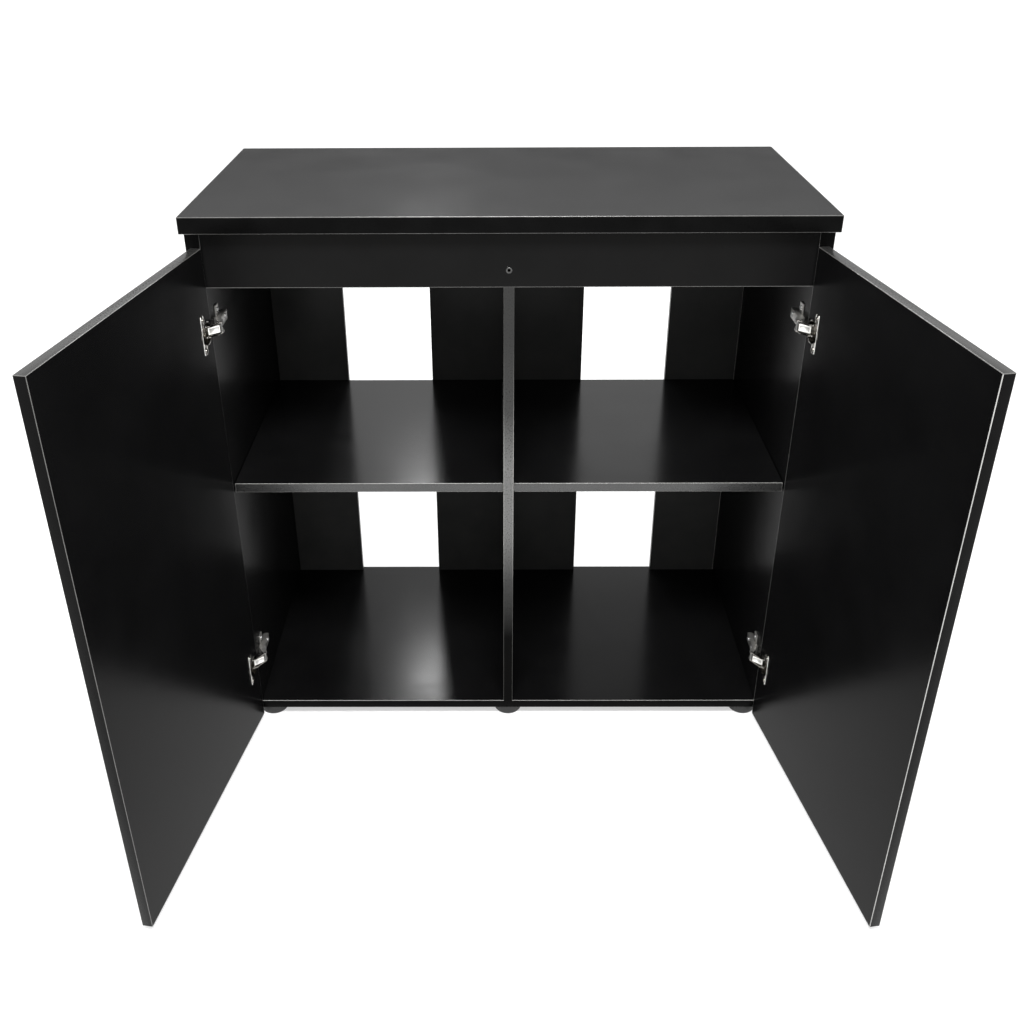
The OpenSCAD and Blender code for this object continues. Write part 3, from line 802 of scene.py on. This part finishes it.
def makeRim(plan, top):
    ys = (plan["doorFaceY"], top)
    rim = rodAlongY(plan["x"], ys, 0, plan["rimRadius"], "cupRim", plan["corners"])
    carve(rim, makeWing(plan["wing"], ys), "UNION")
    carve(rim, rodAlongY(plan["x"], plan["boreY"], 0, plan["boreRadius"], "cupBore", plan["corners"]))
    for way in (-1, 1):
        carve(rim, rodAlongY(plan["wing"]["x"], plan["boreY"], way * plan["screw"]["z"],
                             plan["screw"]["radius"], "screwBore", plan["smallCorners"]))
    topCorner = cornerAt("y", top)
    roundEdges(rim, lambda edge: topCorner(edge) and edge.calc_length() > plan["rimShortest"],
               *plan["rimRound"])
    return paint(rim, finishes["nickel_steel"])


def makeLug(plan, low, high):
    lug = addBlock((plan["x"][0], plan["y"][0], low), (plan["x"][1], plan["y"][1], high), "cupLug")
    topCorner = cornerAt("y", plan["y"][1])

    def crossesTop(edge):
        return topCorner(edge) and abs(edge.verts[0].co.z - edge.verts[1].co.z) > (high - low) / 2

    roundEdges(lug, crossesTop, *plan["topRound"])
    roundEdges(lug, lambda edge: isCorner(edge, meshRules["squareAngle"]), *plan["round"])
    return paint(lug, finishes["nickel_steel"])


def makeCup(plan):
    faceY = plan["doorFaceY"]
    top = faceY + plan["plate"]
    wing, ridge, lip, stud, rib = [plan[key] for key in ("wing", "ridge", "lip", "stud", "rib")]
    edgeX = wing["x"] + wing["halfWidth"]
    parts = [makePot(plan, top), makeRim(plan, top)]
    # the wings' outer border is pressed up, and a rib runs to each screw; the border, lips and studs are in
    # pale steel whose near-white colour is partly a painted highlight
    parts.append(roundedBlock((edgeX - ridge["thick"], faceY + ridge["start"], -ridge["halfLength"]),
                              (edgeX, top + ridge["over"], ridge["halfLength"]),
                              ridge, "rimRidge", paintedHighlightSteel))
    for way in (-1, 1):
        low, high = sorted(way * z for z in lip["z"])
        parts.append(roundedBlock((edgeX - lip["thick"], faceY + lip["start"], low),
                                  (edgeX, faceY + lip["high"], high), lip, "wingLip", paintedHighlightSteel))
        post = rodAlongY(edgeX - stud["inset"], (faceY + lip["start"], faceY + lip["high"]), way * stud["z"],
                         stud["radius"], "lipStud", plan["smallCorners"])
        roundEdges(post, isCorner, *stud["round"], clamp=True)
        parts.append(paint(post, paintedHighlightSteel))
        low, high = sorted(way * z for z in rib["z"])
        parts.append(roundedBlock((wing["x"] - rib["halfWidth"], faceY + rib["start"], low),
                                  (wing["x"] + rib["halfWidth"], top + rib["over"], high),
                                  rib, "wingRib", finishes["nickel_steel"]))
        low, high = sorted(way * z for z in plan["lug"]["z"])
        parts.append(makeLug(plan["lug"], low, high))
    return joinAll(parts, "cupPattern")


linkCoverPlan = {
    "faceAt": 13.5 * mm,
    "normal": (0.62, -0.7846),
    "along": (-11.1 * mm, 8.4 * mm),
    "thick": 2.6 * mm,
    "halfHeight": 5.6 * mm,
    "round": (0.9 * mm, 4),
    "panel": [(1.1 * mm, (-0.18 * mm, 0, 0))],
}


def makeLinkCover(plan):
    # the wide link's folded face, square to its own outer side, already at the doors' rest, in pale steel
    # whose near-white colour is partly a painted highlight
    cover = roundedBlock((-plan["thick"], plan["along"][0], -plan["halfHeight"]),
                         (0, plan["along"][1], plan["halfHeight"]), plan, "linkCover", paintedHighlightSteel)
    sinkFace(cover, facing("x", 1), plan["panel"])
    turn = Matrix.Rotation(math.atan2(plan["normal"][1], plan["normal"][0]), 4, "Z")
    normal = Vector((*plan["normal"], 0))
    cover.data.transform(Matrix.Translation(normal * plan["faceAt"]) @ turn)
    return cover


# pressed and moulded fittings that keep the node's shape, with their longer corners rounded
fittingPlan = {
    "wide_links": {"piece": "WideLinks", "round": (0.3 * mm, 2), "shortest": 1.5 * mm},
    "side_links": {"piece": "SideLinks", "round": (0.2 * mm, 2), "shortest": 1.5 * mm},
    "hinge_arms": {"piece": "HingeArms", "round": (0.3 * mm, 2), "shortest": 2.0 * mm, "finish": steelArm},
    "mounting_plates": {"piece": "MountingPlates", "round": (0.4 * mm, 2), "shortest": 2.0 * mm,
                        "finish": steelArm},
    "shelf_supports": {"piece": "ShelfSupports", "round": (0.5 * mm, 3), "shortest": 2.0 * mm},
}
fittingAngle = 35


def makeFitting(node, side, plan, extras):
    piece = copyOfNode(node, side + plan["piece"])
    roundEdges(piece, lambda edge: isCorner(edge, fittingAngle) and edge.calc_length() > plan["shortest"],
               *plan["round"])
    paint(piece, plan.get("finish") or ownFinish(node))
    standFor(joinAll([piece, *extras], piece.name), node)


cupPattern = makeCup(cupPlan)
coverPattern = makeLinkCover(linkCoverPlan)
for side in ("left", "right"):
    standFor(setOnHinges(cupPattern, side, side + "HingeCups", doorSwing()), side + "_hinge_cups")
    covers = setOnHinges(coverPattern, side, side + "LinkCovers")
    for kind, plan in fittingPlan.items():
        makeFitting(side + "_" + kind, side, plan, [covers] if kind == "wide_links" else [])
removePiece(cupPattern)
removePiece(coverPattern)
print("hinges made")


# screws: a pan head with a cross recess and a plain shank that narrows towards its tip, along +X from its
# seat at the origin

panScrewPlan = {
    "headRadius": 3.7 * mm,
    "headHigh": 1.8 * mm,
    "headRound": (0.9 * mm, 5),
    "cross": (4.2 * mm, 0.9 * mm),
    "crossDeep": 1.2 * mm,
    "crossOver": 1 * mm,
    "shankRadius": 1.9 * mm,
    "shankOverlap": 0.2 * mm,
    "tipShare": 0.35,
    "corners": {"head": 40, "shank": 24},
    "spin": (25, 37),
}
screwRows = {
    "cup": {"deep": 12 * mm, "spots": [(8.5 * mm, -1.2 * mm, way * 24 * mm) for way in (-1, 1)],
            "onDoor": True},
    "plate": {"deep": 15.5 * mm, "spots": [(2.5 * mm, 37 * mm, way * 16 * mm) for way in (-1, 1)],
              "onDoor": False},
    "arm": {"deep": 7.7 * mm, "spots": [(10.2 * mm, y * mm, 0) for y in (27, 52)], "onDoor": False},
}


def makePanScrew(plan, deep):
    head = addRod((0, 0, 0), (plan["headHigh"], 0, 0), plan["headRadius"], "screwHead",
                  plan["corners"]["head"])
    roundEdges(head, cornerAt("x", plan["headHigh"]), *plan["headRound"])
    length, width = plan["cross"]
    for size in ((length, width), (width, length)):
        carve(head, addBlock((plan["headHigh"] - plan["crossDeep"], -size[0] / 2, -size[1] / 2),
                             (plan["headHigh"] + plan["crossOver"], size[0] / 2, size[1] / 2), "crossSlot"))
    shank = addRod((-deep, 0, 0), (plan["shankOverlap"], 0, 0), plan["shankRadius"], "screwShank",
                   plan["corners"]["shank"])
    mesh = editMesh(shank)
    pickFaces(mesh, facing("x", -1))
    bpy.ops.transform.resize(value=(1, plan["tipShare"], plan["tipShare"]), center_override=(-deep, 0, 0))
    leaveEdit()
    return joinAll([head, shank], "panScrew")


def makeScrewSet(row, side, name):
    # every screw of one kind on one side; the doors' screws are drawn closed and swung to the rest
    screw = makePanScrew(panScrewPlan, row["deep"])
    turn = Matrix.Rotation(math.radians(90), 4, "Z") if row["onDoor"] else Matrix.Identity(4)
    swing = doorSwing() if row["onDoor"] else Matrix.Identity(4)
    first, step = panScrewPlan["spin"]
    copies = []
    for number, spot in enumerate(row["spots"]):
        for height in ("lower", "upper"):
            spin = Matrix.Rotation(math.radians(first + step * len(copies)), 4, "X")
            matrix = hingePlace(side, height) @ swing @ Matrix.Translation(spot) @ turn @ spin
            copies.append(placedCopy(screw, matrix, name + height + str(number)))
    removePiece(screw)
    return joinAll(copies, name)


for side in ("left", "right"):
    for kind, row in screwRows.items():
        node = side + "_" + kind + "_screws"
        screws = makeScrewSet(row, side, side + kind.capitalize() + "Screws")
        standFor(screws, node, ownFinish(node))
print("hinge screws made")


# feet and their screws

# rings: inset and rise of each ring on the foot's underside, from its edge to the screw's well
footPlan = {
    "radius": 25 * mm,
    "high": 17 * mm,
    "corners": 96,
    "floorZ": -938 * mm,
    "bottomRound": (4 * mm, 8),
    "topRound": (0.8 * mm, 3),
    "rings": [(2.2 * mm, 0), (1.0 * mm, 0.6 * mm), (9.5 * mm, -0.3 * mm)],
    "wellInset": 4.2 * mm,
    "seat": 5 * mm,
    "screwDeep": 24 * mm,
    "places": {"left": -437 * mm, "centre": 0, "right": 437 * mm},
    "rows": {"front": -187.5 * mm, "rear": 207.5 * mm},
}


def makeFoot(plan):
    foot = addRod((0, 0, 0), (0, 0, plan["high"]), plan["radius"], "footPattern", plan["corners"])
    roundEdges(foot, cornerAt("z", 0), *plan["bottomRound"])
    roundEdges(foot, cornerAt("z", plan["high"]), *plan["topRound"])
    mesh = editMesh(foot)
    pickFaces(mesh, facing("z", -1))
    for inset, rise in plan["rings"]:
        bpy.ops.mesh.inset(thickness=inset, depth=0)
        bpy.ops.transform.translate(value=(0, 0, rise))
    bpy.ops.mesh.inset(thickness=plan["wellInset"], depth=0)
    bpy.ops.mesh.extrude_region_move(TRANSFORM_OT_translate={"value": (0, 0, plan["seat"])})
    leaveEdit()
    return foot


footPattern = makeFoot(footPlan)
footScrew = makePanScrew(panScrewPlan, footPlan["screwDeep"])
footScrewCopies = []
for rowName, y in footPlan["rows"].items():
    for place, x in footPlan["places"].items():
        move = Matrix.Translation((x, y, footPlan["floorZ"]))
        node = rowName + "_" + place + "_foot"
        foot = placedCopy(footPattern, move, rowName + place.capitalize() + "Foot")
        standFor(foot, node, ownFinish(node))
        seat = move @ Matrix.Translation((0, 0, footPlan["seat"])) @ Matrix.Rotation(math.radians(90), 4, "Y")
        footScrewCopies.append(placedCopy(footScrew, seat, "footScrew" + rowName + place))
removePiece(footPattern)
removePiece(footScrew)
standFor(joinAll(footScrewCopies, "footScrews"), "foot_screws", ownFinish("foot_screws"))
print("feet made")


# joining screws: flush round head with a hexagon socket, along +Y from the head's outer face

joinerPlan = {
    "headRadius": 5 * mm,
    "headHigh": 3 * mm,
    "headRound": (0.6 * mm, 4),
    "outerEdge": 4.9 * mm,
    "ring": 0.9 * mm,
    "dishWide": 0.5 * mm,
    "dish": 0.35 * mm,
    "socket": 2.7 * mm,
    "socketY": (-1 * mm, 2.8 * mm),
    "shankRadius": 3 * mm,
    "shankOverlap": 0.2 * mm,
    "shankRound": (0.5 * mm, 2),
    "length": 60 * mm,
    "corners": {"head": 48, "socket": 6, "shank": 24},
}
# each spot is a place and the angle that the screw is turned by
joinerRows = {
    "side_joining_screws": {
        "piece": "sideJoiningScrews", "finish": ownFinish("side_joining_screws"),
        "spots": [((way * 475 * mm, y * mm, -913 * mm), way * 90)
                  for way in (-1, 1) for y in (-159.1, 10, 179.1)]},
    "rail_screw": {
        "piece": "railScrew", "finish": blackScrew, "spots": [((0, -212.5 * mm, -86 * mm), 0)]},
}


def makeJoiner(plan):
    head = rodAlongY(0, (0, plan["headHigh"]), 0, plan["headRadius"], "joinerHead", plan["corners"]["head"])
    sinkFace(head, facing("y", -1), [(plan["ring"], None), (plan["dishWide"], (0, plan["dish"], 0))])
    faceCorner = cornerAt("y", 0)

    def outerCorner(edge):
        return faceCorner(edge) and math.hypot(edge.verts[0].co.x, edge.verts[0].co.z) > plan["outerEdge"]

    roundEdges(head, outerCorner, *plan["headRound"])
    carve(head, rodAlongY(0, plan["socketY"], 0, plan["socket"], "hexSocket", plan["corners"]["socket"]))
    shank = rodAlongY(0, (plan["headHigh"] - plan["shankOverlap"], plan["length"]), 0, plan["shankRadius"],
                      "joinerShank", plan["corners"]["shank"])
    roundEdges(shank, isCorner, *plan["shankRound"])
    return joinAll([head, shank], "joiner")


joiner = makeJoiner(joinerPlan)
for node, row in joinerRows.items():
    copies = []
    for place, angle in row["spots"]:
        matrix = Matrix.Translation(place) @ Matrix.Rotation(math.radians(angle), 4, "Z")
        copies.append(placedCopy(joiner, matrix, row["piece"] + str(len(copies))))
    standFor(joinAll(copies, row["piece"]), node, row["finish"])
removePiece(joiner)
print("joining screws made")


# camera, floor and light

cameraPlan = {
    "place": (-0.0152, -1.7512, 0.4104),
    "pitch": -28.575,
    "yaw": 0.372,
    "roll": 0.284,
    "focalPixels": 1073.1,
    "imagePixels": 1024,
    "centrePixel": (493.1, 473.2),
    "sensor": 36,
    "farthest": 1000,
}


def addCamera(plan):
    deselectAll()
    bpy.ops.object.camera_add()
    camera = bpy.context.object
    camera.name = "photoCamera"
    turn = Matrix.Identity(4)
    for angle, axis in ((plan["yaw"], "Z"), (plan["pitch"], "X"), (plan["roll"], "Y"), (90, "X")):
        turn = turn @ Matrix.Rotation(math.radians(angle), 4, axis)
    camera.matrix_world = Matrix.Translation(plan["place"]) @ turn
    pixels = plan["imagePixels"]
    camera.data.sensor_width = plan["sensor"]
    camera.data.lens = plan["focalPixels"] * plan["sensor"] / pixels
    camera.data.shift_x = (pixels / 2 - plan["centrePixel"][0]) / pixels
    camera.data.shift_y = (plan["centrePixel"][1] - pixels / 2) / pixels
    camera.data.clip_end = plan["farthest"]
    bpy.context.scene.camera = camera


floorPlan = {
    "size": 600,
    "below": 0.2 * mm,
    "dark": (0.4925, 0.4925, 0.4925),
    "light": (0.50, 0.50, 0.50),
    "cloud": (3, 3, 0.5),
    "glow": 0.50,
    "roughness": 0.9,
    "specular": 0.1,
}


def addFloor(plan, lowest):
    deselectAll()
    bpy.ops.mesh.primitive_plane_add(size=plan["size"], location=(0, 0, lowest - plan["below"]))
    floor = bpy.context.object
    floor.name = "studioFloor"
    freeze(floor)
    material, shader = newMaterial("palePaper")
    setColour(material, shader, noiseValue(material, objectPoint(material), plan["cloud"]), plan)
    shader.inputs["Emission Color"].default_value = (1, 1, 1, 1)
    shader.inputs["Emission Strength"].default_value = plan["glow"]
    shader.inputs["Roughness"].default_value = plan["roughness"]
    shader.inputs["Specular IOR Level"].default_value = plan["specular"]
    floor.data.materials.append(material)


lightPlan = [
    {"name": "frontBoomSoftbox", "place": (0.0, -1.35, 1.45), "aim": (0, -0.35, -0.5), "size": (1.1, 0.55),
     "power": 85},
    {"name": "rearBoomSoftbox", "place": (0.0, 1.35, 1.75), "aim": (0, 0.9, -0.94), "size": (1.4, 0.5),
     "power": 34},
    {"name": "rearSpotSoftbox", "place": (-0.29, 2.55, 1.36), "aim": (-0.2, 0.2, -0.7), "size": (0.30, 0.24),
     "power": 14},
]


def addSoftLight(plan):
    deselectAll()
    bpy.ops.object.light_add(type="AREA", location=plan["place"])
    light = bpy.context.object
    light.name = plan["name"]
    light.data.shape = "RECTANGLE"
    light.data.size, light.data.size_y = plan["size"]
    light.data.energy = plan["power"]
    way = Vector(plan["aim"]) - Vector(plan["place"])
    light.rotation_euler = way.to_track_quat("-Z", "Y").to_euler()
    light.visible_camera = False


# brightness of the tent by the sine of the elevation, as a share of its brightest part
worldPlan = {
    "brightest": 2.25,
    "bands": [(0.0, 0.45), (0.125, 0.45), (0.155, 0.05), (0.19, 0.07), (0.285, 0.33), (0.45, 1.0),
              (0.50, 1.0), (0.60, 0.52), (1.0, 0.56)],
}


def addWorld(plan):
    # pale at the horizon, dim above it and bright overhead, like the inside of a light tent
    world = bpy.data.worlds.new("lightTent")
    world.use_nodes = True
    nodes, links = world.node_tree.nodes, world.node_tree.links
    background = nodes["Background"]
    coordinates = nodes.new("ShaderNodeTexCoord")
    split = nodes.new("ShaderNodeSeparateXYZ")
    background.inputs["Strength"].default_value = plan["brightest"]
    links.new(coordinates.outputs["Generated"], split.inputs["Vector"])
    shades = greyRamp(world.node_tree, split.outputs["Z"], plan["bands"])
    links.new(shades, background.inputs["Color"])
    bpy.context.scene.world = world


addCamera(cameraPlan)
addFloor(floorPlan, cadBox[0][2])
for plan in lightPlan:
    addSoftLight(plan)
addWorld(worldPlan)
bpy.context.scene.view_settings.view_transform = "Standard"
print("camera, floor and light placed")
